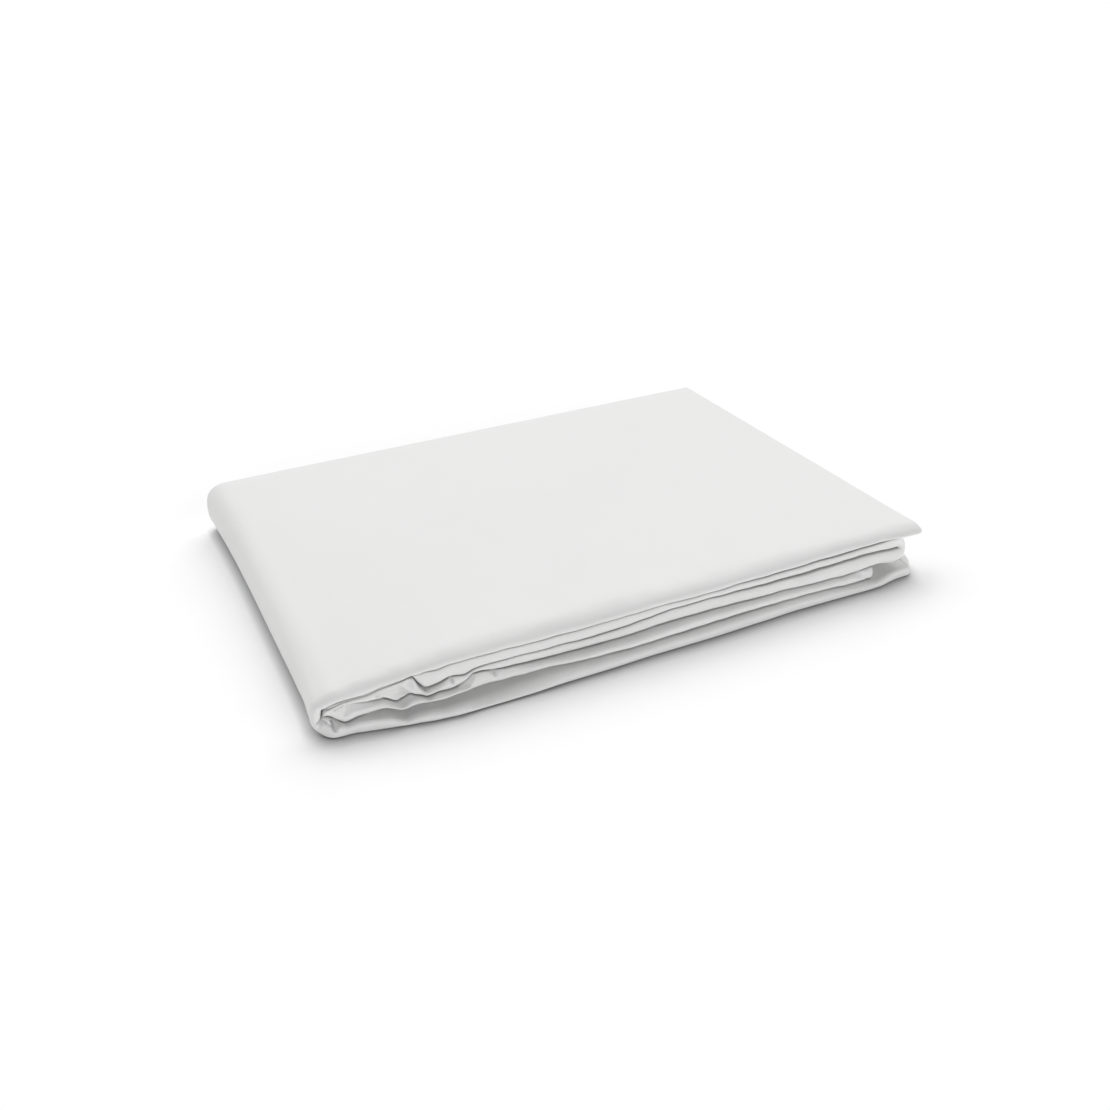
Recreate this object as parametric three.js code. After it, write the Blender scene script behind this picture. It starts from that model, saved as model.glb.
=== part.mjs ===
import * as THREE from "three";

// A plain duvet cover, folded lengthwise into a strip and then back and forth into five layers.
// Sizes are in millimetres: x runs from the wrapped left end to the open right end, y from the front
// side to the back, and z up from the surface that the packet lies on.

// Driving sizes
const LENGTH = 360;
const HEIGHT = 30.5;
const LAYERS = 5;
const GAP = 0.8;
const BACK_LEFT = 247.5;
const BACK_RIGHT = 262;

// Sizes that follow from them
const THICKNESS = (HEIGHT - GAP * (LAYERS - 1)) / LAYERS;
const HALF = THICKNESS / 2;
const PITCH = THICKNESS + GAP;

// Where the strip turns: the outermost line of each turn, and the two free ends. A turn of boxiness 2
// is a half circle, and a higher one is pulled flatter over the stack.
const WRAP_LEFT = -5.6;
const WRAP_BOXINESS = 2.9;
const ROUND = 2;
const LOWER_TURN_RIGHT = 357;
const UPPER_TURN_RIGHT = 353;
const INNER_TURN_LEFT = 0.4;
const INNER_END_LEFT = 2.6;
const TOP_END_RIGHT = 362.5;
const TOP_CORNER = 4;

// The front side, one row for each section from left to right. top is the height of the packet.
// line1 to line4 are the heights where one front fold meets the next, lowest first, and out1 to out5
// say how far each fold stands forward of y = 0, lowest first.
const FRONT_COLUMNS = [
  "x", "top", "line1", "line2", "line3", "line4", "out1", "out2", "out3", "out4", "out5",
];
const FRONT_ROWS = [
  [-2, 22.4, 13.0, 15.6, 17.2, 18.4, -3.0, -1.0, -1.0, -2.0, -1.5],
  [11, 23.2, 5.7, 15.6, 17.2, 18.4, 3.5, 0.6, 0.2, -1.4, 0.0],
  [19, 24.0, 7.7, 14.5, 16.8, 18.0, 5.1, 1.4, 0.4, -1.4, 0.0],
  [29, 25.3, 7.8, 13.5, 18.5, 19.7, 7.2, 2.2, 0.8, -1.2, 0.0],
  [39, 26.4, 5.0, 9.3, 19.7, 20.9, 8.9, 3.6, 1.0, -1.0, 0.1],
  [45, 27.0, 6.1, 10.8, 20.8, 22.0, 10.0, 4.5, 1.6, -1.0, 0.2],
  [48.5, 27.4, 6.5, 10.4, 16.6, 21.6, 10.7, 5.0, 2.0, -0.4, 0.2],
  [52, 27.8, 6.3, 9.4, 13.6, 21.9, 11.5, 5.0, 2.2, 0.4, 0.3],
  [65, 28.8, 6.0, 9.6, 15.6, 22.8, 12.7, 5.0, 2.2, 0.9, 0.4],
  [77, 29.4, 5.5, 14.7, 16.5, 23.1, 12.3, 3.3, 1.1, 0.8, 0.5],
  [103, 29.9, 5.8, 12.4, 17.4, 23.0, 12.0, 2.7, 1.2, 0.8, 0.5],
  [148, 30.1, 4.9, 11.1, 16.7, 23.1, 10.6, 4.4, 1.6, 0.6, 0.4],
  [178, 30.2, 3.9, 11.5, 18.9, 23.9, 9.2, 3.8, 1.3, 0.4, 0.2],
  [209, 30.3, 4.4, 12.6, 20.6, 24.0, 8.7, 2.6, 1.0, 0.2, 0.0],
  [275, 30.5, 5.0, 12.0, 19.6, 24.2, 5.8, 1.1, 1.4, -1.0, -2.0],
  [324, 30.7, 6.9, 12.5, 20.6, 25.3, 5.2, 0.2, 0.6, -1.7, -2.9],
  [331, 30.7, 6.6, 12.4, 20.6, 25.5, 4.8, -9.0, 0.4, -1.7, -2.8],
  [345, 30.8, 6.0, 10.7, 19.1, 25.8, 2.4, -14.0, -0.6, -2.6, -1.6],
  [363, 30.8, 5.4, 9.6, 18.1, 26.3, 1.3, -14.0, -2.6, -4.0, 0.0],
];

// The rolls of the front folds: how far back the lower and the upper half of each fold start to curve,
// how high up a fold is fullest as a share of its thickness, and how wide the groove above it opens.
const ROLL_COLUMNS = [
  "x", "nose1", "upper1", "open1", "lower2", "nose2", "upper2", "open2", "lower3", "upper3", "open3",
  "lower4", "upper4", "open4", "lower5", "upper5",
];
const ROLL_ROWS = [
  [-2, 0.5, 3.0, 0.4, 1.5, 0.5, 2.0, 0.4, 1.5, 1.2, 0.4, 1.0, 1.0, 0.4, 1.2, 5.0],
  [46, 0.35, 4.0, 2.2, 2.0, 0.42, 3.0, 0.5, 2.0, 1.6, 0.4, 1.0, 1.0, 0.4, 1.4, 9.0],
  [75, 0.35, 9.0, 2.4, 2.4, 0.42, 3.0, 0.6, 1.6, 2.0, 0.5, 1.4, 1.8, 0.5, 1.8, 12.0],
  [175, 0.3, 6.0, 2.2, 3.0, 0.6, 1.4, 0.4, 1.4, 3.0, 0.8, 2.0, 1.6, 0.4, 1.3, 12.0],
  [363, 0.4, 4.0, 2.4, 2.4, 0.5, 2.0, 0.6, 2.2, 2.4, 0.8, 2.0, 1.6, 0.6, 1.8, 9.0],
];
const LOWEST_ROLL = 2.4;
const NOSE = 0.5;
const TOP_NOSE = 0.2;

// The back side: two lobes with a groove between them, and how far each layer stands out
const BACK_ROLL = 3.2;
const BACK_GROOVE = 2.2;
const BACK_OUT = [0, -1.6, 0.6, -1.0, 0.2];

// The front heights fade into an even stack over the range of y, and over the range of x where the
// strip turns down round the left end. The skin at the foot keeps its height in the turn.
const FADE_Y = [3, 60];
const FADE_X = [-3, 2];
const SKIN = 3.2;
const SKIN_X = [6, 16];

// How far the wrapped left end is drawn in on its way back
const LEFT_COLUMNS = ["y", "drawnIn"];
const LEFT_ROWS = [
  [0, 0],
  [20, 2],
  [60, 3],
  [190, 5.2],
  [262, 3.2],
];
const LEFT_X = [4, 34];

// Pockets where the cloth buckled: the layer, the depth, the place x, z of the pit, and the rim's
// corners seen from the front. Flat facets fall from the rim to the pit.
const POCKETS = [
  [3, 5.5, [42.4, 13.4], [[27.5, 14.6], [39, 19.2], [44.1, 20.4], [46.2, 12.6], [42, 9.5], [32, 9.5]]],
  [2, 4.5, [14.2, 16.4], [[11, 19], [9.2, 9.6], [17.6, 11], [30, 11.4], [32, 16], [24, 18.6]]],
  [3, 4.5, [64.8, 18.4], [[60.8, 17.6], [63.3, 14.6], [64.8, 11.6], [66.4, 15.6], [68, 18.4], [64, 21]]],
  [1, 4.5, [34, 6.4], [[14, 8.6], [20.6, 4.6], [33, 2.6], [43, 4.2], [48, 6], [24, 9.6]]],
  [1, 9, [5.2, 8.2], [[1.4, 11.4], [9.6, 8.6], [3.6, 3]]],
];
const POCKET_BEHIND = [5, 26];

// How finely the strip is divided. All layers are cut at multiples of the same steps, and the first
// and last step of a run are no shorter than a share of the full one.
const RUN_STEP = 22;
const BENT_STEP = 9;
const CRUMPLED_STEP = 3.2;
const LEAST_STEP = 0.3;
const CRUMPLED_TO = 92;
const TUCK_FROM = 305;
const TURN_STEPS = 6;
const WRAP_STEPS = 14;
const END_STEPS = 3;
const FRONT_STEPS = 3;
const BACK_STEPS = 2;
const SIDE_SHARES = [0.05, 0.15, 0.4, 0.75];

// A smooth curve through a table's rows that never overshoots them
function curve(columns, rows, name) {
  const at = columns.indexOf(name);
  const xs = rows.map((row) => row[0]);
  const ys = rows.map((row) => row[at]);
  const slopes = xs.slice(1).map((x, i) => (ys[i + 1] - ys[i]) / (x - xs[i]));
  const tangents = xs.map((x, i) => {
    const before = slopes[Math.max(i - 1, 0)];
    const after = slopes[Math.min(i, slopes.length - 1)];
    return before * after <= 0 ? 0 : (2 * before * after) / (before + after);
  });
  return (x) => {
    const inside = THREE.MathUtils.clamp(x, xs[0], xs[xs.length - 1]);
    const i = Math.max(0, Math.min(xs.findLastIndex((edge) => edge <= inside), xs.length - 2));
    const span = xs[i + 1] - xs[i];
    const t = (inside - xs[i]) / span;
    const rise = ys[i + 1] - ys[i];
    const bend = (tangents[i] * (1 - t) - tangents[i + 1] * t) * span + rise * (2 * t - 1);
    return ys[i] + rise * t + t * (1 - t) * bend;
  };
}

const { clamp, lerp, smoothstep } = THREE.MathUtils;
const numbers = Array.from({ length: LAYERS }, (unused, i) => i + 1);
const front = (name) => curve(FRONT_COLUMNS, FRONT_ROWS, name);
const roll = (name) => curve(ROLL_COLUMNS, ROLL_ROWS, name);
const topHeight = front("top");
const frontOut = numbers.map((k) => front("out" + k));
const lines = numbers.slice(0, -1).map((k) => front("line" + k));
const openings = numbers.slice(0, -1).map((k) => roll("open" + k));
const upperRoll = numbers.map((k) => roll("upper" + k));
const lowerRoll = numbers.map((k) => (k === 1 ? () => LOWEST_ROLL : roll("lower" + k)));
const noseLevel = [roll("nose1"), roll("nose2"), () => NOSE, () => NOSE, () => TOP_NOSE];
const drawnIn = curve(LEFT_COLUMNS, LEFT_ROWS, "drawnIn");

// The middle height of a layer in the even stack, before the packet is pressed into shape
function middle(layer) {
  return HALF + (layer - 1) * PITCH;
}

// A station is one section of the strip: its middle point, the two layers that it lies between, how
// far it has turned from one to the other, and its fullness.
function run(layer, from, to) {
  const [low, high] = [Math.min(from, to), Math.max(from, to)];
  const inside = layer > 1 && layer < LAYERS;
  const places = [];
  let x = low;
  while (x < high) {
    const tucked = x >= TUCK_FROM && inside;
    const step = x < CRUMPLED_TO ? CRUMPLED_STEP : tucked ? BENT_STEP : RUN_STEP;
    x = (Math.floor(x / step + LEAST_STEP) + 1) * step;
    if (x < high - LEAST_STEP * step) places.push(x);
  }
  if (to < from) places.reverse();
  return places.map((place) => ({ x: place, z: middle(layer), from: layer, to: layer, turned: 0, full: 1 }));
}

// A rounded turn from one layer to another. reach is 1 to the right and -1 to the left.
function turn(from, to, outermost, reach, steps, boxiness) {
  const radius = Math.abs(middle(to) - middle(from)) / 2;
  const centreX = outermost - reach * (radius + HALF);
  const centreZ = (middle(from) + middle(to)) / 2;
  const rise = Math.sign(to - from);
  const power = 2 / boxiness;
  return Array.from({ length: steps + 1 }, (unused, i) => {
    const angle = (Math.PI * i) / steps;
    const across = Math.abs(Math.sin(angle)) ** power;
    const along = -Math.sign(Math.cos(angle)) * Math.abs(Math.cos(angle)) ** power;
    return {
      x: centreX + reach * radius * across,
      z: centreZ + rise * radius * along,
      from,
      to,
      turned: (1 - Math.cos(angle)) / 2,
      full: 1,
    };
  });
}

// A free end closes in a half round edge.
function freeEnd(layer, outermost, reach) {
  return Array.from({ length: END_STEPS + 1 }, (unused, i) => {
    const angle = (Math.PI / 2) * (i / (END_STEPS + 0.4));
    const x = outermost - reach * HALF * (1 - Math.sin(angle));
    return { x, z: middle(layer), from: layer, to: layer, turned: 0, full: Math.cos(angle) };
  });
}

// The whole route of the strip, from the free end on top to the free end inside the wrap. Each station
// also gets its outer side, square to the way from the station before to the one after.
function route() {
  const wrap = turn(5, 1, WRAP_LEFT, -1, WRAP_STEPS, WRAP_BOXINESS);
  const lower = turn(1, 2, LOWER_TURN_RIGHT, 1, TURN_STEPS, ROUND);
  const inner = turn(2, 3, INNER_TURN_LEFT, -1, TURN_STEPS, ROUND);
  const upper = turn(3, 4, UPPER_TURN_RIGHT, 1, TURN_STEPS, ROUND);
  const topEnd = freeEnd(5, TOP_END_RIGHT, 1).reverse();
  const innerEnd = freeEnd(4, INNER_END_LEFT, -1);
  const stations = [
    ...topEnd,
    ...run(5, topEnd[END_STEPS].x, wrap[0].x),
    ...wrap,
    ...run(1, wrap[WRAP_STEPS].x, lower[0].x),
    ...lower,
    ...run(2, lower[TURN_STEPS].x, inner[0].x),
    ...inner,
    ...run(3, inner[TURN_STEPS].x, upper[0].x),
    ...upper,
    ...run(4, upper[TURN_STEPS].x, innerEnd[0].x),
    ...innerEnd,
  ];
  stations.forEach((station, i) => {
    const before = stations[Math.max(i - 1, 0)];
    const after = stations[Math.min(i + 1, stations.length - 1)];
    const way = new THREE.Vector2(after.x - before.x, after.z - before.z).normalize();
    station.side = [way.y, -way.x];
  });
  return stations;
}

// A value that a station takes from its two layers
function between(station, value) {
  return lerp(value(station.from - 1), value(station.to - 1), station.turned);
}

// The roll of a layer's front fold on the strip's outer and inner side, and its nose as an offset
function outerIsUp(index) {
  return index !== 0 && index !== 2;
}

function rollSides(index, x) {
  const [upper, lower, nose] = [upperRoll[index](x), lowerRoll[index](x), 2 * noseLevel[index](x) - 1];
  return outerIsUp(index) ? [upper, lower, nose] : [lower, upper, -nose];
}

// The closed outline of one section, as pairs of y and offset from -1, inner, to 1, outer
function outline(station) {
  const { x } = station;
  const onTop = station.from === LAYERS && station.turned < 0.5;
  const corner = onTop ? clamp((x - TOP_END_RIGHT + TOP_CORNER) / TOP_CORNER, 0, 1) : 0;
  const frontEdge = TOP_CORNER * (1 - Math.sqrt(1 - corner ** 2)) - between(station, (k) => frontOut[k](x));
  const back = lerp(BACK_LEFT, BACK_RIGHT, x / LENGTH) + between(station, (k) => BACK_OUT[k]);
  const [outer, inner, nose] = [0, 1, 2].map((i) => between(station, (k) => rollSides(k, x)[i]));
  const points = [];
  for (let i = FRONT_STEPS; i >= 0; i--) {
    const angle = (Math.PI / 2) * (i / FRONT_STEPS);
    points.push([frontEdge + outer * (1 - Math.cos(angle)), nose + (1 - nose) * Math.sin(angle)]);
  }
  for (let i = 1; i <= FRONT_STEPS; i++) {
    const angle = (Math.PI / 2) * (i / FRONT_STEPS);
    points.push([frontEdge + inner * (1 - Math.cos(angle)), nose - (1 + nose) * Math.sin(angle)]);
  }
  for (const share of SIDE_SHARES) points.push([lerp(frontEdge + inner, back - BACK_ROLL, share), -1]);
  for (let i = -BACK_STEPS; i <= BACK_STEPS; i++) {
    const angle = (Math.PI / 2) * (i / BACK_STEPS);
    const groove = i === 0 ? BACK_GROOVE * station.full : 0;
    points.push([back - BACK_ROLL * (1 - Math.cos(angle)) - groove, Math.sin(angle)]);
  }
  for (const share of [...SIDE_SHARES].reverse()) {
    points.push([lerp(frontEdge + outer, back - BACK_ROLL, share), 1]);
  }
  return { frontEdge, points };
}

// Presses the even stack into the packet's real heights: its total height falls towards the left end,
// and near the front each line between two layers moves to its own height.
const levels = [0, SKIN, ...numbers.slice(0, -1).flatMap((k) => [k * PITCH - GAP, k * PITCH]), HEIGHT];

function press(x, y, z) {
  const squeeze = lerp(topHeight(x) / HEIGHT, 1, clamp(y / BACK_LEFT, 0, 1));
  const fade = (1 - smoothstep(y, ...FADE_Y)) * smoothstep(x, ...FADE_X);
  const shifts = levels.map(() => 0);
  lines.forEach((line, k) => {
    for (const [level, up] of [[2 * k + 2, -0.5], [2 * k + 3, 0.5]]) {
      shifts[level] = (line(x) + up * openings[k](x) - levels[level] * squeeze) * fade;
    }
  });
  shifts[1] = ((shifts[2] * SKIN) / levels[2]) * smoothstep(x, ...SKIN_X);
  const i = clamp(levels.findLastIndex((level) => level <= z + 1e-9), 0, levels.length - 2);
  const share = clamp((z - levels[i]) / (levels[i + 1] - levels[i]), 0, 1);
  return z * squeeze + lerp(shifts[i], shifts[i + 1], share);
}

// 1 at a pocket's pit, falling along flat facets to 0 at its rim and outside it
function pocketShare(x, z, pit, rim) {
  let share = 0;
  rim.forEach((corner, i) => {
    const next = rim[(i + 1) % rim.length];
    const [ax, az, bx, bz] = [corner[0] - pit[0], corner[1] - pit[1], next[0] - pit[0], next[1] - pit[1]];
    const [px, pz] = [x - pit[0], z - pit[1]];
    const area = ax * bz - az * bx;
    const toCorner = (px * bz - pz * bx) / area;
    const toNext = (ax * pz - az * px) / area;
    if (toCorner >= 0 && toNext >= 0) share = Math.max(share, 1 - toCorner - toNext);
  });
  return share;
}

// The points of one section, pressed, drawn in and with its pockets
function section(station) {
  const owner = station.turned < 0.5 ? station.from : station.to;
  const { frontEdge, points } = outline(station);
  return points.map(([y, offset]) => {
    const reach = HALF * offset * station.full;
    const x = station.x + station.side[0] * reach;
    const z = press(x, y, station.z + station.side[1] * reach);
    const left = drawnIn(y) * (1 - smoothstep(x, ...LEFT_X));
    const nearFront = 1 - smoothstep(y - frontEdge, ...POCKET_BEHIND);
    const pressedIn = POCKETS.filter(([layer]) => layer === owner).reduce(
      (sum, [, depth, pit, rim]) => sum + depth * pocketShare(x + left, z, pit, rim) * nearFront,
      0,
    );
    return [x + left, y + pressedIn, z];
  });
}

// The closed surface of the whole strip
function foldedCover() {
  const sections = route().map(section);
  const size = sections[0].length;
  const faces = [];
  for (let s = 0; s < sections.length - 1; s++) {
    for (let i = 0; i < size; i++) {
      const a = s * size + i;
      const b = s * size + ((i + 1) % size);
      faces.push(a, a + size, b, b, a + size, b + size);
    }
  }
  const caps = [
    [0, false],
    [(sections.length - 1) * size, true],
  ];
  for (const [first, flip] of caps) {
    for (let i = 1; i <= size / 2; i++) {
      const pair = (n) => [first + ((FRONT_STEPS + n) % size), first + ((FRONT_STEPS - n + size) % size)];
      const [a, b] = pair(i - 1);
      const [c, d] = pair(i);
      const quads = a === b ? [[a, c, d]] : c === d ? [[a, c, b]] : [[a, c, b], [c, d, b]];
      for (const [p, q, r] of quads) faces.push(...(flip ? [p, r, q] : [p, q, r]));
    }
  }
  const geometry = new THREE.BufferGeometry();
  geometry.setAttribute("position", new THREE.Float32BufferAttribute(sections.flat(2), 3));
  geometry.setIndex(faces);
  geometry.computeBoundingBox();
  const { min, max } = geometry.boundingBox;
  geometry.translate(-(min.x + max.x) / 2, -(min.y + max.y) / 2, -min.z);
  geometry.computeVertexNormals();
  return geometry;
}

const cotton = new THREE.MeshStandardMaterial({ color: 0xe9e9e7, roughness: 0.9, metalness: 0 });

const cover = new THREE.Mesh(foldedCover(), cotton);
cover.name = "folded_cover";

const packet = new THREE.Group();
packet.add(cover);

export default packet;
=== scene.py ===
# %% [markdown]
# # A folded duvet cover
#
# The real thing is a big flat bag of white cotton. It was folded lengthwise until it made a strip as wide
# as this packet is deep, and the strip was then folded back and forth into five layers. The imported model
# already has that strip as a plain solid. Here it gets its fine shape, its creases and its cloth.
#
# We start with the frame, and keep its box, so that the finished cloth can be measured against it.

# %% Load the frame
import math

import bpy
import numpy as np
from mathutils import Matrix, Vector


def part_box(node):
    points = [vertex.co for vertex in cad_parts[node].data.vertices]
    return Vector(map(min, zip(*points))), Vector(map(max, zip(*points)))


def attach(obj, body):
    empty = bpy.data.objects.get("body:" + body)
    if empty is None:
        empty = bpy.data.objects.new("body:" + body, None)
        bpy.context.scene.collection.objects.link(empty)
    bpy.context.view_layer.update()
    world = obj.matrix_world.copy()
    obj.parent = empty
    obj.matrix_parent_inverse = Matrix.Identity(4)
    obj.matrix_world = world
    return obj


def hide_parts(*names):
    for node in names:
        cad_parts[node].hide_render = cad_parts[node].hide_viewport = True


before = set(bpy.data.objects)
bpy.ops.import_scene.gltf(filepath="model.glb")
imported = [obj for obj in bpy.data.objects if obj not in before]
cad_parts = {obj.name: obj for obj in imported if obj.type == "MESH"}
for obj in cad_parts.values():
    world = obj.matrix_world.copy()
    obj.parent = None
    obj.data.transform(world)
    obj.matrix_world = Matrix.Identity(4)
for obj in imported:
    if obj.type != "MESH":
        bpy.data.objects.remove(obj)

MM = 0.001
solid_low, solid_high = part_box("folded_cover")
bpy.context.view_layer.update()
print("the solid is", [round((h - l) / MM, 1) for l, h in zip(solid_low, solid_high)], "mm")

# %% [markdown]
# ## Sizes
#
# The whole packet follows from a few sizes, in millimetres, because that is how a folder would measure it.
# x runs from the wrapped left end to the open right end, y from the front side to the back, and z up.
# Using the same sizes as the solid keeps the cloth exactly where the solid is.

# %% Driving sizes
LENGTH = 360.0
HEIGHT = 30.5
LAYERS = 5
GAP = 0.8
BACK_LEFT = 247.5
BACK_RIGHT = 262.0

THICKNESS = (HEIGHT - GAP * (LAYERS - 1)) / LAYERS
HALF = THICKNESS / 2
PITCH = THICKNESS + GAP

WRAP_LEFT = -5.6
WRAP_BOXINESS = 2.9
LOWER_TURN_RIGHT = 361.0
UPPER_TURN_RIGHT = 354.0
INNER_TURN_LEFT = 0.4
INNER_END_LEFT = 2.4
TOP_END_RIGHT = 363.4
TOP_CORNER = 2.6
print("one folded layer is", round(THICKNESS, 2), "mm thick")

# %% [markdown]
# ## The front side, section by section
#
# The front is where all the folds show, and no two sections of it are alike. A table holds it best: one row
# for each section from left to right, with the packet's height, the four lines where one front fold meets
# the next (lowest first), and how far each fold stands forward of y = 0 (lowest first). Near the left end
# the fourth layer is pinched out of sight between its neighbours, which is what makes the crumple there.

# %% The table of sections
FRONT_COLUMNS = [
    "x", "top", "line1", "line2", "line3", "line4", "out1", "out2", "out3", "out4", "out5",
]
FRONT_ROWS = [
    [-2, 22.4, 13.0, 13.2, 15.2, 16.2, -1.6, -0.6, -0.6, -0.8, -1.0],
    [4, 22.8, 10.6, 14.0, 16.0, 17.3, 3.6, -0.4, 0.2, -0.2, -0.5],
    [11, 23.2, 5.7, 15.7, 17.8, 18.4, 3.8, 0.6, 0.5, 0.0, 0.0],
    [19, 24.0, 7.6, 14.4, 17.4, 18.0, 5.4, 1.4, 0.4, -0.4, 0.0],
    [29, 25.3, 7.6, 13.1, 19.0, 19.6, 7.5, 2.2, 0.8, -0.7, 0.0],
    [39, 26.4, 4.7, 8.5, 20.1, 20.7, 9.2, 3.6, 1.0, -0.8, 0.1],
    [45, 27.0, 5.9, 11.0, 21.4, 22.0, 10.3, 4.5, 1.6, -0.8, 0.2],
    [48.5, 27.4, 6.4, 10.5, 15.6, 21.6, 11.0, 5.0, 2.0, -0.4, 0.2],
    [52, 27.8, 6.3, 9.2, 12.6, 22.0, 11.7, 5.0, 2.2, 0.4, 0.3],
    [58, 28.2, 5.5, 10.2, 13.3, 21.7, 12.2, 5.1, 2.4, 0.8, 0.3],
    [65, 28.8, 6.0, 9.6, 15.6, 22.8, 12.9, 5.0, 2.2, 0.9, 0.4],
    [72, 29.2, 5.4, 11.5, 15.1, 23.0, 12.6, 4.2, 1.6, 0.9, 0.5],
    [77, 29.4, 5.3, 14.7, 16.5, 23.1, 12.3, 3.3, 1.1, 0.8, 0.5],
    [88, 29.7, 5.5, 13.6, 17.4, 23.1, 12.1, 2.8, 1.2, 0.8, 0.5],
    [103, 29.9, 6.2, 12.4, 17.4, 23.0, 12.0, 3.8, 1.2, 0.8, 0.5],
    [125, 30.0, 7.5, 11.9, 17.2, 23.0, 11.1, 5.4, 1.3, 0.8, 0.4],
    [148, 30.1, 7.4, 12.0, 16.7, 23.1, 10.6, 7.0, 1.6, 0.6, 0.4],
    [178, 30.2, 7.3, 12.7, 18.9, 23.9, 9.2, 6.4, 1.3, 0.4, 0.2],
    [209, 30.3, 7.7, 13.8, 20.6, 24.0, 8.7, 5.2, 1.0, 0.2, 0.0],
    [248, 30.4, 7.9, 13.4, 20.0, 24.1, 7.0, 4.3, 1.3, -0.3, -1.2],
    [275, 30.5, 7.9, 13.2, 19.6, 24.2, 5.6, 3.7, 1.4, -1.0, -2.0],
    [309, 30.6, 6.5, 12.0, 20.4, 24.4, 5.5, 3.4, 1.0, -1.6, -3.0],
    [324, 30.7, 5.6, 12.6, 20.5, 25.3, 5.5, 2.0, 0.6, -1.7, -2.9],
    [327.5, 30.7, 5.4, 12.8, 20.4, 25.3, 5.3, 1.4, 0.5, -1.7, -2.8],
    [331, 30.7, 5.8, 12.9, 20.3, 25.4, 5.2, -9.0, 0.4, -1.7, -2.8],
    [345, 30.8, 7.6, 10.8, 19.0, 25.6, 2.6, -14.0, -0.6, -2.6, -1.6],
    [363, 30.8, 7.4, 10.4, 18.1, 26.0, 1.5, -14.0, -2.6, -4.0, 0.0],
]
print(len(FRONT_ROWS), "sections describe the front")

# %% [markdown]
# How round each fold is matters as much as where it lies. A deep roll lets the light fall into the groove,
# so the line between two folds is dark and wide, and a shallow roll gives a thin soft line. This second
# table holds how deep the upper and the lower roll of each fold are, how high up the two lowest folds are
# fullest (nose, as a share of their height), and how wide the groove above a fold opens.

# %% The table of rolls
ROLL_COLUMNS = [
    "x", "nose1", "upper1", "open1", "lower2", "nose2", "upper2", "open2", "lower3", "upper3", "open3",
    "lower4", "upper4", "open4", "lower5", "upper5",
]
ROLL_ROWS = [
    [-2, 0.6, 2.4, 0.4, 1.5, 0.5, 2.0, 0.3, 1.5, 1.2, 0.2, 0.8, 0.8, 0.2, 1.2, 5.0],
    [15, 0.7, 2.0, 0.8, 1.5, 0.42, 3.0, 0.6, 1.5, 1.2, 0.1, 0.8, 0.8, 0.1, 1.2, 6.0],
    [32, 0.75, 1.6, 2.6, 2.0, 0.42, 2.4, 1.2, 2.0, 1.6, 0.1, 0.8, 0.8, 0.1, 1.4, 8.0],
    [45, 0.75, 1.8, 2.8, 2.0, 0.42, 2.4, 0.6, 2.0, 1.6, 0.3, 0.8, 0.8, 0.2, 1.4, 9.0],
    [49, 0.7, 2.2, 2.8, 2.1, 0.42, 2.6, 0.5, 1.9, 1.8, 2.4, 1.4, 1.2, 0.3, 1.5, 9.5],
    [54, 0.7, 2.4, 2.8, 2.2, 0.42, 3.0, 0.4, 1.8, 2.2, 1.0, 2.0, 1.6, 0.4, 1.6, 10.0],
    [66, 0.65, 3.2, 2.8, 2.3, 0.42, 2.4, 0.4, 1.4, 1.8, 0.5, 1.4, 1.3, 0.2, 1.2, 11.0],
    [77, 0.42, 8.0, 2.8, 2.4, 0.42, 2.2, 0.4, 1.3, 1.5, 0.3, 1.2, 1.3, 0.2, 1.2, 12.0],
    [95, 0.35, 9.0, 2.0, 2.4, 0.42, 2.4, 0.4, 1.4, 1.3, 0.2, 1.0, 1.3, 0.2, 1.2, 12.0],
    [125, 0.5, 7.0, 1.4, 1.8, 0.5, 3.0, 0.3, 1.4, 1.3, 0.3, 1.0, 1.3, 0.2, 1.2, 12.0],
    [175, 0.6, 5.0, 0.9, 1.4, 0.55, 4.2, 0.2, 1.2, 1.6, 0.3, 1.3, 1.2, 0.2, 1.0, 12.0],
    [318, 0.6, 4.5, 0.9, 1.4, 0.5, 3.2, 0.2, 1.2, 1.6, 0.3, 1.3, 1.2, 0.2, 1.1, 10.0],
    [332, 0.7, 3.0, 1.0, 1.6, 0.5, 1.6, 0.4, 1.8, 1.6, 0.5, 1.4, 1.2, 0.3, 1.3, 9.0],
    [363, 0.85, 2.0, 1.0, 1.6, 0.5, 1.6, 0.4, 1.8, 1.6, 0.6, 1.4, 1.2, 0.6, 1.3, 9.0],
]
LOWEST_ROLL = 2.4
NOSE = 0.5
TOP_NOSE = 0.2
print(len(ROLL_ROWS), "sections tell how round the folds are")

# %% [markdown]
# A table gives values at its rows only. Between them we want a smooth curve that never swings past the
# rows, because a swing would push one layer into the next. This cubic bends between neighbouring slopes.

# %% Read a table as smooth curves
NO_SLOPE = 1e-9


def curve(columns, rows, name):
    """A function of x that passes smoothly through one column of a table."""
    xs = np.array([row[0] for row in rows], float)
    ys = np.array([row[columns.index(name)] for row in rows], float)
    slopes = np.diff(ys) / np.diff(xs)
    before = np.concatenate([slopes[:1], slopes])
    after = np.concatenate([slopes, slopes[-1:]])
    product = before * after
    total = np.where(np.abs(before + after) < NO_SLOPE, 1.0, before + after)
    tangents = np.where(product > 0, 2 * product / total, 0.0)

    def value(x):
        inside = np.clip(x, xs[0], xs[-1])
        i = np.clip(np.searchsorted(xs, inside, side="right") - 1, 0, len(xs) - 2)
        span = xs[i + 1] - xs[i]
        t = (inside - xs[i]) / span
        rise = ys[i + 1] - ys[i]
        bend = (tangents[i] * (1 - t) - tangents[i + 1] * t) * span + rise * (2 * t - 1)
        return ys[i] + rise * t + t * (1 - t) * bend

    return value


def front(name):
    return curve(FRONT_COLUMNS, FRONT_ROWS, name)


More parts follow.
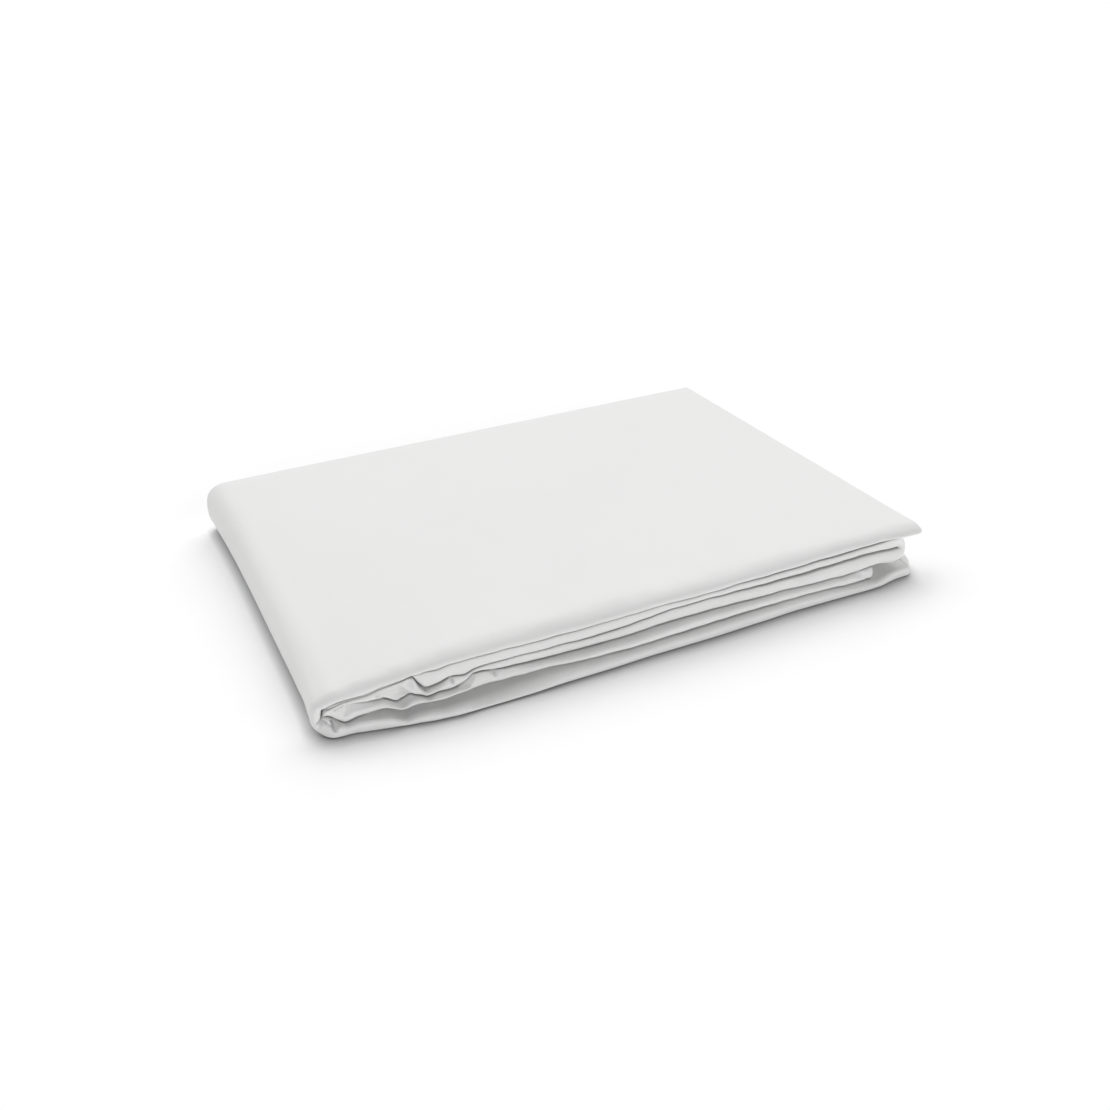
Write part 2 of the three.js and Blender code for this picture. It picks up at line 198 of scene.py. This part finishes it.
def depth(name):
    return curve(ROLL_COLUMNS, ROLL_ROWS, name)


def steady(value):
    return lambda x: np.full(np.shape(x), value)


top_height = front("top")
front_out = {k: front(f"out{k}") for k in range(1, LAYERS + 1)}
line_height = {k: front(f"line{k}") for k in range(1, LAYERS)}
upper_roll = {k: depth(f"upper{k}") for k in range(1, LAYERS + 1)}
lower_roll = {1: steady(LOWEST_ROLL)} | {k: depth(f"lower{k}") for k in range(2, LAYERS + 1)}
nose_level = {1: depth("nose1"), 2: depth("nose2"), 3: steady(NOSE), 4: steady(NOSE), 5: steady(TOP_NOSE)}
opening = {k: depth(f"open{k}") for k in range(1, LAYERS)}
print("the packet is", round(float(top_height(0.0)), 1), "mm high at the left and",
      round(float(top_height(LENGTH)), 1), "mm at the right")

# %% [markdown]
# ## The strip's route
#
# Seen from the front, the strip is one line that starts at the free end on top, runs left, wraps down round
# everything, and then folds back and forth inside. We walk along it and note a station every millimetre or
# so: its middle, and the two layers it lies between. Straight runs and rounded turns are all it takes,
# because the press comes afterwards. The wrap is boxier than a half circle, as it is pulled over the stack.

# %% Stations along the route
CRUMPLED_TO = 96.0
STEP_CRUMPLED = 0.7
STEP_BENT = 1.2
STEP_PLAIN = 2.6
TUCK_FROM = 300.0
TURN_STEPS = 18
WRAP_STEPS = 40
END_STEPS = 8
END_BOXINESS = 3.2
END_CLOSED = 0.985
ROUND = 2.0


def middle(layer):
    """The middle height of a layer in the even stack."""
    return HALF + (layer - 1) * PITCH


def stations(x, z, low, high, turned, full):
    """One array with a row for each station."""
    columns = np.broadcast_arrays(x, z, low, high, turned, full)
    return np.column_stack([np.atleast_1d(np.asarray(c, float)) for c in columns])


def run(layer, start, finish):
    """A straight run of one layer, without its two ends, which the turns bring."""
    low, high = sorted((start, finish))
    inside = 1 < layer < LAYERS
    places = [low]
    while places[-1] < high:
        x = places[-1]
        if x < CRUMPLED_TO:
            step = STEP_CRUMPLED if inside else STEP_BENT
        elif x > TUCK_FROM and inside:
            step = STEP_BENT
        else:
            step = STEP_PLAIN
        places.append(x + step)
    places = low + (np.array(places) - low) * (high - low) / (places[-1] - low)
    places = places[1:-1] if start < finish else places[1:-1][::-1]
    return stations(places, middle(layer), layer, layer, 0.0, 1.0)


def turn(first, last, outermost, reach, steps, boxiness):
    """A rounded turn from one layer to another. reach is 1 to the right and -1 to the left."""
    radius = abs(middle(last) - middle(first)) / 2
    centre_x = outermost - reach * (radius + HALF)
    centre_z = (middle(first) + middle(last)) / 2
    rise = 1.0 if last > first else -1.0
    angle = np.linspace(0.0, math.pi, steps + 1)
    across = np.abs(np.sin(angle)) ** (2 / boxiness)
    along = -np.sign(np.cos(angle)) * np.abs(np.cos(angle)) ** (2 / boxiness)
    turned = (1 - np.cos(angle)) / 2
    return stations(
        centre_x + reach * radius * across, centre_z + rise * radius * along, first, last, turned, 1.0
    )


def free_end(layer, outermost, reach, boxiness):
    """A free end closes in a round edge. It stops just short of a point, to leave a face for the cap."""
    angle = np.linspace(0.0, math.pi / 2, END_STEPS + 1)
    angle[-1] *= END_CLOSED
    power = 2 / boxiness
    x = outermost - reach * HALF * (1 - np.sin(angle) ** power)
    return stations(x, middle(layer), layer, layer, 0.0, np.cos(angle) ** power)


wrap = turn(5, 1, WRAP_LEFT, -1, WRAP_STEPS, WRAP_BOXINESS)
lower_turn = turn(1, 2, LOWER_TURN_RIGHT, 1, TURN_STEPS, ROUND)
inner_turn = turn(2, 3, INNER_TURN_LEFT, -1, TURN_STEPS, ROUND)
upper_turn = turn(3, 4, UPPER_TURN_RIGHT, 1, TURN_STEPS, ROUND)
top_end = free_end(5, TOP_END_RIGHT, 1, END_BOXINESS)
inner_end = free_end(4, INNER_END_LEFT, -1, ROUND)
route = np.vstack([
    top_end[::-1],
    run(5, top_end[0, 0], wrap[0, 0]),
    wrap,
    run(1, wrap[-1, 0], lower_turn[0, 0]),
    lower_turn,
    run(2, lower_turn[-1, 0], inner_turn[0, 0]),
    inner_turn,
    run(3, inner_turn[-1, 0], upper_turn[0, 0]),
    upper_turn,
    run(4, upper_turn[-1, 0], inner_end[0, 0]),
    inner_end,
])
route_x, route_z, low_layer, high_layer, turned, full = (route[:, [i]] for i in range(6))
steps = np.hypot(np.diff(route[:, 0]), np.diff(route[:, 1]))
along_strip = np.concatenate([[0.0], np.cumsum(steps)])
heading_x = np.gradient(route[:, 0], along_strip)[:, None]
heading_z = np.gradient(route[:, 1], along_strip)[:, None]
heading = np.hypot(heading_x, heading_z)
side_x, side_z = heading_z / heading, -heading_x / heading
owner = np.where(turned < 0.5, low_layer, high_layer)[:, 0]
print("the route has", len(route), "stations and is", round(along_strip[-1] / 1000, 2), "m long")

# %% [markdown]
# ## One section of the strip
#
# Cut across, the strip is a flat loop. Its front edge is a rolled fold, and its back edge shows the two
# halves of the last lengthwise fold as a pair of lobes with a groove between them. The loop's points are
# closest where the fold is tight.

# %% The loop's points
BACK_ROLL = 3.2
BACK_GROOVE = 2.2
GROOVE_WIDTH = 0.3
BACK_OUT = [0.0, -1.6, 0.6, -1.0, 0.2]
FRONT_POINTS = 13
BACK_POINTS = 6
SIDE_POINTS = 10


def mix(a, b, share):
    return a + (b - a) * share


def by_layer(functions):
    """The value of each station, mixed from the functions of its two layers."""
    values = {k: function(route_x) for k, function in functions.items()}
    low = np.select([low_layer == k for k in values], list(values.values()))
    high = np.select([high_layer == k for k in values], list(values.values()))
    return mix(low, high, turned)


def outer_is_up(layer):
    return layer not in (1, 3)


outer = by_layer({k: (upper_roll if outer_is_up(k) else lower_roll)[k] for k in upper_roll})
inner = by_layer({k: (lower_roll if outer_is_up(k) else upper_roll)[k] for k in upper_roll})
nose = 2 * by_layer(nose_level) - 1
nose = nose * by_layer({k: steady(1.0 if outer_is_up(k) else -1.0) for k in upper_roll})
corner = np.clip((route_x - TOP_END_RIGHT + TOP_CORNER) / TOP_CORNER, 0, 1) * (owner[:, None] == LAYERS)
front_edge = TOP_CORNER * (1 - np.sqrt(1 - corner ** 2)) - by_layer(front_out)
back_edge = mix(BACK_LEFT, BACK_RIGHT, route_x / LENGTH) + by_layer(
    {k: steady(out) for k, out in enumerate(BACK_OUT, 1)}
)

quarter = np.linspace(0, math.pi / 2, FRONT_POINTS + 1)
half_turn = np.linspace(-math.pi / 2, math.pi / 2, 2 * BACK_POINTS + 1)
side_share = (1 - np.cos(np.linspace(0, math.pi, SIDE_POINTS + 2)[1:-1])) / 2
groove = BACK_GROOVE * full * np.exp(-((np.sin(half_turn) / GROOVE_WIDTH) ** 2))
loop_y = np.hstack([
    front_edge + outer * (1 - np.cos(quarter[::-1])),
    front_edge + inner * (1 - np.cos(quarter[1:])),
    mix(front_edge + inner, back_edge - BACK_ROLL, side_share),
    back_edge - BACK_ROLL * (1 - np.cos(half_turn)) - groove,
    mix(back_edge - BACK_ROLL, front_edge + outer, side_share),
])
loop_offset = np.hstack([
    nose + (1 - nose) * np.sin(quarter[::-1]),
    nose - (1 + nose) * np.sin(quarter[1:]),
    -np.ones((len(route), SIDE_POINTS)),
    np.broadcast_to(np.sin(half_turn), (len(route), len(half_turn))),
    np.ones((len(route), SIDE_POINTS)),
])
LOOP = loop_y.shape[1]
print("each section has", LOOP, "points")

# %% [markdown]
# ## Pressing the stack
#
# So far every layer has the same height. Pressing works on the finished loops: the total height falls
# towards the wrapped end on the front side, and near the front each line between two layers moves to its
# height in the table. The move is piecewise linear in z, so layers can be squeezed thin but never cross.
# Close to the wrapped end the lowest few millimetres, the skin, stay as they are, so that the wrap keeps its
# round bottom. Last, the wrapped end is drawn in a little, most of all three quarters of the way back.

# %% Press the loops into shape
FADE_FROM = 3.0
FADE_TO = 60.0
WRAP_FREE = (-3.0, 2.0)
SKIN = 3.2
GROOVES = [k * PITCH - GAP * below for k in range(1, LAYERS) for below in (1, 0)]
LEVELS = np.array([0.0, SKIN] + GROOVES + [HEIGHT])
SKIN_FREE = (6.0, 16.0)
LEFT_COLUMNS = ["y", "drawn_in"]
LEFT_ROWS = [[0, 0.0], [8, 0.6], [20, 2.0], [60, 3.0], [190, 5.2], [235, 4.4], [262, 3.2]]
LEFT_PART = (4.0, 34.0)


def smoothstep(value, low, high):
    t = np.clip((value - low) / (high - low), 0, 1)
    return t * t * (3 - 2 * t)


def press(x, y, z):
    squeeze = mix(top_height(x) / HEIGHT, 1.0, np.clip(y / BACK_LEFT, 0, 1))
    fade = (1 - smoothstep(y, FADE_FROM, FADE_TO)) * smoothstep(x, *WRAP_FREE)
    shifts = np.zeros((len(LEVELS),) + x.shape)
    for k in range(1, LAYERS):
        for level, half in ((2 * k, -0.5), (2 * k + 1, 0.5)):
            shifts[level] = (line_height[k](x) + half * opening[k](x) - LEVELS[level] * squeeze) * fade
    shifts[1] = shifts[2] * SKIN / LEVELS[2] * smoothstep(x, *SKIN_FREE)
    i = np.clip(np.searchsorted(LEVELS, z, side="right") - 1, 0, len(LEVELS) - 2)
    share = np.clip((z - LEVELS[i]) / (LEVELS[i + 1] - LEVELS[i]), 0, 1)
    low = np.take_along_axis(shifts, i[None], 0)[0]
    high = np.take_along_axis(shifts, i[None] + 1, 0)[0]
    return z * squeeze + mix(low, high, share)


reach = HALF * loop_offset * full
x = route_x + side_x * reach
z = route_z + side_z * reach
y = loop_y + 0 * x
z = press(x, y, z)
x = x + curve(LEFT_COLUMNS, LEFT_ROWS, "drawn_in")(y) * (1 - smoothstep(x, *LEFT_PART))
print("pressed height", round(float(z.max()), 1), "mm, lowest", round(float(z.min()), 3), "mm")

# %% [markdown]
# ## Pockets and creases
#
# Where the cloth was pushed together it buckled into small pockets. A pocket has a rim and a pit, and the
# cloth between them falls in flat facets that meet in sharp creases. So each pocket is a polygon on the
# front of one layer, seen from the front, with the place of its pit and how deep it goes. A negative depth
# makes a puff that stands out instead, and a fall below 1 gives steep walls round a flatter pit.

# %% The table of pockets
# layer, depth, fall, place of the pit, corners of the rim
POCKETS = [
    [3, 5.0, 0.7, (39, 11.5), [(26, 16.5), (33.5, 18), (38.5, 19), (41, 16.5), (43.5, 14),
      (46.5, 11.5), (40, 7.5), (32, 11.5)]],
    [3, 1.3, 1, (43, 19), [(41, 19), (43, 22), (45, 19), (44, 15), (42, 16)]],
    [3, -1.0, 1, (46, 17), [(44, 21), (46.5, 22.5), (48, 16), (48, 13), (44.5, 14)]],
    [3, 5.0, 0.8, (65, 17), [(61.5, 17), (65, 20), (66, 19), (66, 12), (63.5, 15)]],
    [2, 6.0, 0.7, (69.5, 14), [(74.5, 19.5), (77.5, 14), (74.5, 9), (69.5, 9), (65.5, 12.5), (67, 14)]],
    [2, 5.0, 0.8, (87, 16), [(82.5, 16), (89.5, 17), (88.5, 10), (85.5, 13)]],
    [2, 4.0, 0.8, (14, 17), [(11, 18.5), (9.5, 9), (13.5, 11.5), (21, 12), (30, 12.5),
      (28, 17), (14.5, 18.5)]],
    [2, 1.6, 0.9, (34.5, 14.5), [(32.5, 16), (33, 10.5), (37, 11.5), (40, 13)]],
    [1, 9.0, 0.5, (5, 8.5), [(3, 11), (8.5, 9), (6, 7), (4, 4.5), (3, 7)]],
    [1, 3.5, 0.6, (0, 11), [(-4, 7.5), (-0.5, 11.5), (0, 13), (1, 11), (3.5, 8), (0.5, 9)]],
    [3, -1.6, 1, (1.5, 18), [(-0.5, 20), (4, 19.5), (4.5, 17), (3, 14.5), (-0.5, 15)]],
    [2, 1.6, 0.8, (317, 11.5), [(307, 13), (314, 14), (324.5, 10.5), (325.5, 5), (316.5, 9)]],
]
POCKET_FADE = (5.0, 42.0)


def pocket_share(x, z, pit, rim):
    """1 at the pit, falling along flat facets to 0 at the rim and outside it."""
    share = np.zeros(x.shape)
    for a, b in zip(rim, rim[1:] + rim[:1]):
        ax, az, bx, bz = a[0] - pit[0], a[1] - pit[1], b[0] - pit[0], b[1] - pit[1]
        area = ax * bz - az * bx
        px, pz = x - pit[0], z - pit[1]
        to_a = (px * bz - pz * bx) / area
        to_b = (ax * pz - az * px) / area
        inside = (to_a >= 0) & (to_b >= 0)
        share = np.where(inside, np.maximum(share, 1 - to_a - to_b), share)
    return share


behind_front = y - front_edge
near_front = 1 - smoothstep(behind_front, *POCKET_FADE)
flat_x, flat_z = x.copy(), z.copy()
for layer, deep, fall, pit, rim in POCKETS:
    rows = np.flatnonzero(owner == layer)
    y[rows] += deep * pocket_share(flat_x[rows], flat_z[rows], pit, rim) ** fall * near_front[rows]
points = np.stack([x, y, z], axis=-1).reshape(-1, 3)
print(len(POCKETS), "pockets, the deepest", max(row[1] for row in POCKETS), "mm")

# %% [markdown]
# ## Joining the loops
#
# Every loop has the same number of points, so each point joins its partner on the next loop, and four points
# make a face. The two free ends of the strip are closed with a cap. Last, the cloth is shifted sideways, so
# that its middle lies over the middle of the solid.

# %% Join the loops into a closed skin
count = len(route)
faces = []
for s in range(count - 1):
    a = s * LOOP
    for i in range(LOOP):
        j = (i + 1) % LOOP
        faces.append((a + i, a + LOOP + i, a + LOOP + j, a + j))
for first, flip in ((0, False), ((count - 1) * LOOP, True)):
    for i in range(1, LOOP // 2 + 1):
        ring = [first + (FRONT_POINTS + n) % LOOP for n in (i - 1, i, -i, 1 - i)]
        face = list(dict.fromkeys(ring))
        faces.append(tuple(face[::-1] if flip else face))

lowest, highest = points.min(axis=0), points.max(axis=0)
solid_middle = np.array(Vector(solid_low) + Vector(solid_high)) / (2 * MM)
shift = (solid_middle - (lowest + highest) / 2) * [1, 1, 0]
cloth = bpy.data.meshes.new("cover_cloth")
cloth.from_pydata([tuple(p) for p in (points + shift) * MM], [], faces)
cloth.validate()
cloth.shade_smooth()
cover = bpy.data.objects.new("cover_cloth", cloth)
bpy.context.scene.collection.objects.link(cover)
print("cover_cloth has", sum(len(f) - 2 for f in faces), "triangles")

# %% [markdown]
# ## The weave's own map
#
# Woven cloth has two directions, along the strip and across it, and the weave has to follow them round every
# fold. So each corner of each face gets its place on the flat strip in metres: how far round the section it
# is, and how far along. The jump that a closed loop must have somewhere is put on the underside.

# %% Lay the flat map on the skin
section_steps = np.hypot(np.diff(loop_y, axis=1, append=loop_y[:, :1]),
                         HALF * np.diff(loop_offset, axis=1, append=loop_offset[:, :1]))
around = np.cumsum(section_steps, axis=1) - section_steps
girth = section_steps.sum(axis=1, keepdims=True)
jump_at = 2 * FRONT_POINTS + 1 + SIDE_POINTS // 2
around += np.where(np.arange(LOOP) < jump_at, girth, 0.0)
on_top = LOOP - SIDE_POINTS // 2
around += loop_y[:, [on_top]] + around[:, [on_top]] - 2 * around
around_next = around - section_steps
along = np.broadcast_to(along_strip[:, None], around.shape)
across_corners = np.stack([around[:-1], around[1:], around_next[1:], around_next[:-1]], axis=-1)
along_corners = np.stack([along[:-1], along[1:], along[1:], along[:-1]], axis=-1)
ring_map = np.stack([across_corners, along_corners], axis=-1).reshape(-1, 2)
cap_corners = [v for face in faces[(count - 1) * LOOP:] for v in face]
cap_map = np.stack([around.ravel()[cap_corners], along.ravel()[cap_corners]], axis=-1)
flat_map = cloth.uv_layers.new(name="flat_strip")
flat_map.data.foreach_set("uv", (np.vstack([ring_map, cap_map]) * MM).ravel())
print("the map spans", (np.ptp(ring_map, axis=0) / 1000).round(2), "m")

# %% [markdown]
# ## The cotton
#
# White cotton percale is a plain weave: each thread goes over one and under the next, about 28 threads to a
# centimetre. Two waves across each other give that pattern as a fine bump. A slow noise makes the white a
# little uneven, a broader bump stands for the softness left by washing, and a faint sheen for the fibres
# that stand up from the surface.
#
# An ambient occlusion node paints shade into the cloth's colour where other cloth is within a millimetre or
# two.
# The real folds hold many plies and let less light into the creases between them than our thick layers do,
# so this painted shade stands in for that darkness.

# %% The cotton material
THREADS_PER_METRE = 2800
WAVE_TEXTURE_PERIOD = math.pi / 10
DIM_WHITE = (0.775, 0.775, 0.77, 1)
LIGHT_WHITE = (0.805, 0.805, 0.80, 1)
TONE_SCALE = 14.0
CRINKLE_SCALE = 70.0
CRINKLE_DEPTH = 0.0004
WEAVE_DEPTH = 0.00003
CREASE_SHADE_REACH = 0.0015
CREASE_SHADE_POWER = 0.45
CREASE_SHADE_SAMPLES = 8


def add(tree, kind, inputs=None, **settings):
    """A new node with its settings, and with values for some of its inputs."""
    made = tree.nodes.new(kind)
    for name, value in settings.items():
        setattr(made, name, value)
    for name, value in (inputs or {}).items():
        made.inputs[name].default_value = value
    return made


def cotton_material():
    made = bpy.data.materials.new("white_cotton")
    made.use_nodes = True
    tree = made.node_tree
    link = tree.links.new
    shader = tree.nodes["Principled BSDF"]
    shader.inputs["Specular IOR Level"].default_value = 0.25
    shader.inputs["Sheen Weight"].default_value = 0.2
    shader.inputs["Sheen Roughness"].default_value = 0.5

    flat = add(tree, "ShaderNodeUVMap", uv_map="flat_strip")
    wave_scale = {"Scale": WAVE_TEXTURE_PERIOD * THREADS_PER_METRE / 2}
    weave = add(tree, "ShaderNodeMath", operation="MULTIPLY")
    for i, direction in enumerate(("X", "Y")):
        wave = add(tree, "ShaderNodeTexWave", wave_scale, wave_type="BANDS", bands_direction=direction)
        signed = add(tree, "ShaderNodeMath", {1: 2.0, 2: -1.0}, operation="MULTIPLY_ADD")
        link(flat.outputs["UV"], wave.inputs["Vector"])
        link(wave.outputs["Fac"], signed.inputs[0])
        link(signed.outputs[0], weave.inputs[i])

    place = add(tree, "ShaderNodeTexCoord")
    slow = add(tree, "ShaderNodeTexNoise", {"Scale": TONE_SCALE, "Detail": 3.0})
    tone = add(tree, "ShaderNodeMix", {"A": DIM_WHITE, "B": LIGHT_WHITE}, data_type="RGBA")
    link(place.outputs["Object"], slow.inputs["Vector"])
    link(slow.outputs["Fac"], tone.inputs["Factor"])

    # painted shade: ambient occlusion darkens the base colour where cloth lies close to other cloth, in
    # creases and gaps
    crease_shade_ao = add(tree, "ShaderNodeAmbientOcclusion", {"Distance": CREASE_SHADE_REACH}, samples=CREASE_SHADE_SAMPLES)
    deep = add(tree, "ShaderNodeMath", {1: CREASE_SHADE_POWER}, operation="POWER")
    tone_with_crease_shade = add(tree, "ShaderNodeMix", {"Factor": 1.0}, data_type="RGBA", blend_type="MULTIPLY")
    link(crease_shade_ao.outputs["AO"], deep.inputs[0])
    link(tone.outputs["Result"], tone_with_crease_shade.inputs["A"])
    link(deep.outputs[0], tone_with_crease_shade.inputs["B"])
    link(tone_with_crease_shade.outputs["Result"], shader.inputs["Base Color"])

    roughness = add(tree, "ShaderNodeMapRange", {"To Min": 0.84, "To Max": 0.94})
    link(slow.outputs["Fac"], roughness.inputs["Value"])
    link(roughness.outputs["Result"], shader.inputs["Roughness"])

    crinkle = add(tree, "ShaderNodeTexNoise", {"Scale": CRINKLE_SCALE, "Detail": 4.0})
    soft_bump = add(tree, "ShaderNodeBump", {"Strength": 0.25, "Distance": CRINKLE_DEPTH})
    weave_bump = add(tree, "ShaderNodeBump", {"Strength": 0.35, "Distance": WEAVE_DEPTH})
    link(place.outputs["Object"], crinkle.inputs["Vector"])
    link(crinkle.outputs["Fac"], soft_bump.inputs["Height"])
    link(weave.outputs[0], weave_bump.inputs["Height"])
    link(soft_bump.outputs["Normal"], weave_bump.inputs["Normal"])
    link(weave_bump.outputs["Normal"], shader.inputs["Normal"])
    return made


cotton = cotton_material()
print("thread pitch", round(1000 / THREADS_PER_METRE, 2), "mm")

# %% [markdown]
# ## A breath of unevenness
#
# Nothing in pressed cloth runs quite straight. A small node group moves every point by a smooth random
# amount: a few tenths of a millimetre on the folded front, and hardly at all on the smooth top. Because the
# same field moves neighbouring surfaces, the layers never touch. Points on the floor stay where they are.

# %% The unevenness as geometry nodes
FRONT_AMOUNT = 1.4 * MM
TOP_AMOUNT = 0.25 * MM
WAVE_SIZE = 14 * MM
FRONT_REACH = (4 * MM, 30 * MM)
FLOOR_REACH = 6 * MM


def uneven_group():
    group = bpy.data.node_groups.new("uneven_cloth", "GeometryNodeTree")
    face = group.interface
    face.new_socket("Cloth", in_out="INPUT", socket_type="NodeSocketGeometry")
    for name in ("Front amount", "Top amount", "Wave size", "Front y"):
        face.new_socket(name, in_out="INPUT", socket_type="NodeSocketFloat")
    face.new_socket("Material", in_out="INPUT", socket_type="NodeSocketMaterial")
    face.new_socket("Cloth", in_out="OUTPUT", socket_type="NodeSocketGeometry")
    link = group.links.new
    given = add(group, "NodeGroupInput")
    result = add(group, "NodeGroupOutput")
    position = add(group, "GeometryNodeInputPosition")
    axes = add(group, "ShaderNodeSeparateXYZ")
    link(position.outputs[0], axes.inputs[0])

    detail = add(group, "ShaderNodeMath", {0: 1.0}, operation="DIVIDE")
    noise = add(group, "ShaderNodeTexNoise", {"Detail": 1.5})
    centred = add(group, "ShaderNodeVectorMath", {1: (0.5, 0.5, 0.5)}, operation="SUBTRACT")
    link(given.outputs["Wave size"], detail.inputs[1])
    link(position.outputs[0], noise.inputs["Vector"])
    link(detail.outputs[0], noise.inputs["Scale"])
    link(noise.outputs["Color"], centred.inputs[0])

    behind = add(group, "ShaderNodeMath", operation="SUBTRACT")
    link(axes.outputs["Y"], behind.inputs[0])
    link(given.outputs["Front y"], behind.inputs[1])
    edges = {"From Min": FRONT_REACH[0], "From Max": FRONT_REACH[1]}
    amount = add(group, "ShaderNodeMapRange", edges, interpolation_type="SMOOTHSTEP")
    link(behind.outputs[0], amount.inputs["Value"])
    link(given.outputs["Front amount"], amount.inputs["To Min"])
    link(given.outputs["Top amount"], amount.inputs["To Max"])
    off_floor = add(group, "ShaderNodeMapRange", {"From Max": FLOOR_REACH})
    strength = add(group, "ShaderNodeMath", operation="MULTIPLY")
    offset = add(group, "ShaderNodeVectorMath", operation="SCALE")
    link(axes.outputs["Z"], off_floor.inputs["Value"])
    link(amount.outputs[0], strength.inputs[0])
    link(off_floor.outputs[0], strength.inputs[1])
    link(centred.outputs[0], offset.inputs[0])
    link(strength.outputs[0], offset.inputs["Scale"])

    move = add(group, "GeometryNodeSetPosition")
    paint = add(group, "GeometryNodeSetMaterial")
    link(given.outputs["Cloth"], move.inputs["Geometry"])
    link(offset.outputs[0], move.inputs["Offset"])
    link(move.outputs[0], paint.inputs["Geometry"])
    link(given.outputs["Material"], paint.inputs["Material"])
    link(paint.outputs[0], result.inputs["Cloth"])
    return group


uneven = cover.modifiers.new("uneven_cloth", "NODES")
uneven.node_group = uneven_group()
sockets = {item.name: item.identifier for item in uneven.node_group.interface.items_tree
           if item.in_out == "INPUT"}
uneven[sockets["Front amount"]] = FRONT_AMOUNT
uneven[sockets["Top amount"]] = TOP_AMOUNT
uneven[sockets["Wave size"]] = WAVE_SIZE
uneven[sockets["Front y"]] = float(shift[1]) * MM
uneven[sockets["Material"]] = cotton

print("the unevenness is made by", len(uneven.node_group.nodes), "nodes")

# %% [markdown]
# ## Keeping the result
#
# A modifier is a recipe that is worked out again whenever something changes. This one has done its work, so
# we keep its result as a plain mesh. Then the piece rides on the packet's only body, and it takes the place
# of the solid, which is hidden.

# %% Keep the uneven cloth as a plain mesh
view = bpy.context.evaluated_depsgraph_get()
finished = bpy.data.meshes.new_from_object(cover.evaluated_get(view), depsgraph=view)
cover.modifiers.clear()
moved = max((a.co - b.co).length for a, b in zip(finished.vertices, cloth.vertices))
cover.data = finished
finished.name = "cover_cloth"
finished.materials.clear()
finished.materials.append(cotton)
print("no point moved more than", round(moved / MM, 2), "mm")

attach(cover, "root")
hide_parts("folded_cover")

# %% [markdown]
# ## Floor, light and camera
#
# The packet lies on a white sweep. Three large soft lights stand high behind it, so the top is the brightest
# face and a short soft shadow falls in front. Two low boards in front keep the folds readable. Within a few
# millimetres of the cloth a painted contact shadow darkens the floor's colour, like the shade under anything
# lying on it.

# %% Floor
FLOOR_SIZE = 30.0
CONTACT_SHADOW_REACH = 0.008
CONTACT_SHADOW_POWER = 0.7
CONTACT_SHADOW_SAMPLES = 12
bpy.ops.mesh.primitive_plane_add(size=FLOOR_SIZE, location=(0, 0, 0))
floor = bpy.context.object
floor.name = "floor"
floor_painted_shadow = bpy.data.materials.new("floor_painted_shadow")
floor_painted_shadow.use_nodes = True
floor_shader = floor_painted_shadow.node_tree.nodes["Principled BSDF"]
floor_tree = floor_painted_shadow.node_tree
# painted shadow: ambient occlusion darkens the floor's base colour within a few millimetres of the cloth
contact_shadow_ao = add(floor_tree, "ShaderNodeAmbientOcclusion", {"Distance": CONTACT_SHADOW_REACH}, samples=CONTACT_SHADOW_SAMPLES)
painted_contact_shadow = add(floor_tree, "ShaderNodeMath", {1: CONTACT_SHADOW_POWER}, operation="POWER")
floor_tree.links.new(contact_shadow_ao.outputs["AO"], painted_contact_shadow.inputs[0])
floor_tree.links.new(painted_contact_shadow.outputs[0], floor_shader.inputs["Base Color"])
floor_shader.inputs["Roughness"].default_value = 1.0
floor_shader.inputs["Specular IOR Level"].default_value = 0.0
floor.data.materials.append(floor_painted_shadow)
print("the floor is", FLOOR_SIZE, "m wide")

# %% Light
SKY = 0.02
scene = bpy.context.scene
world = bpy.data.worlds.new("studio")
world.use_nodes = True
world.node_tree.nodes["Background"].inputs["Color"].default_value = (1, 1, 1, 1)
world.node_tree.nodes["Background"].inputs["Strength"].default_value = SKY
scene.world = world


def wide_light(name, towards, strength, spread):
    """A broad distant light. towards is the direction from the packet to the light."""
    data = bpy.data.lights.new(name, "SUN")
    data.energy = strength
    data.angle = math.radians(spread)
    made = bpy.data.objects.new(name, data)
    made.rotation_euler = Vector(towards).to_track_quat("Z", "Y").to_euler()
    made.location = Vector(towards)
    scene.collection.objects.link(made)
    return made


wide_light("back_light", (0.0, 1.0, 1.2), 0.75, 44)
wide_light("back_left_light", (-0.8, 1.0, 1.0), 1.2, 60)
wide_light("back_right_light", (0.8, 1.0, 1.0), 2.0, 60)
wide_light("left_board", (-0.35, -1.0, 0.25), 1.27, 60)
wide_light("right_board", (0.7, -1.0, 0.25), 1.1, 60)
scene.view_settings.view_transform = "Standard"
scene.view_settings.look = "None"

# %% [markdown]
# ## The camera
#
# Its place, direction and lens were found by fitting the packet's corners to the photograph. It looks down
# at the packet from the front left, from about three quarters of a metre away.

# %% Camera
CAMERA_PLACE = np.array([-106.3, -464.4, 350.4])
CAMERA_FORWARD = Vector((0.3889, 0.7888, -0.4759))
CAMERA_UP = Vector((0.2130, 0.4256, 0.8795))
LENS = 38.94
SENSOR = 36.0
NEAREST = 0.01
camera_data = bpy.data.cameras.new("camera")
camera_data.sensor_width = SENSOR
camera_data.lens = LENS
camera_data.clip_start = NEAREST
camera = bpy.data.objects.new("camera", camera_data)
right = CAMERA_FORWARD.cross(CAMERA_UP).normalized()
up = right.cross(CAMERA_FORWARD).normalized()
camera.matrix_world = Matrix.Translation(Vector((CAMERA_PLACE + shift) * MM)) @ Matrix(
    (right, up, -CAMERA_FORWARD.normalized())
).transposed().to_4x4()
scene.collection.objects.link(camera)
scene.camera = camera
print("the lens is", LENS, "mm on a sensor", SENSOR, "mm wide")
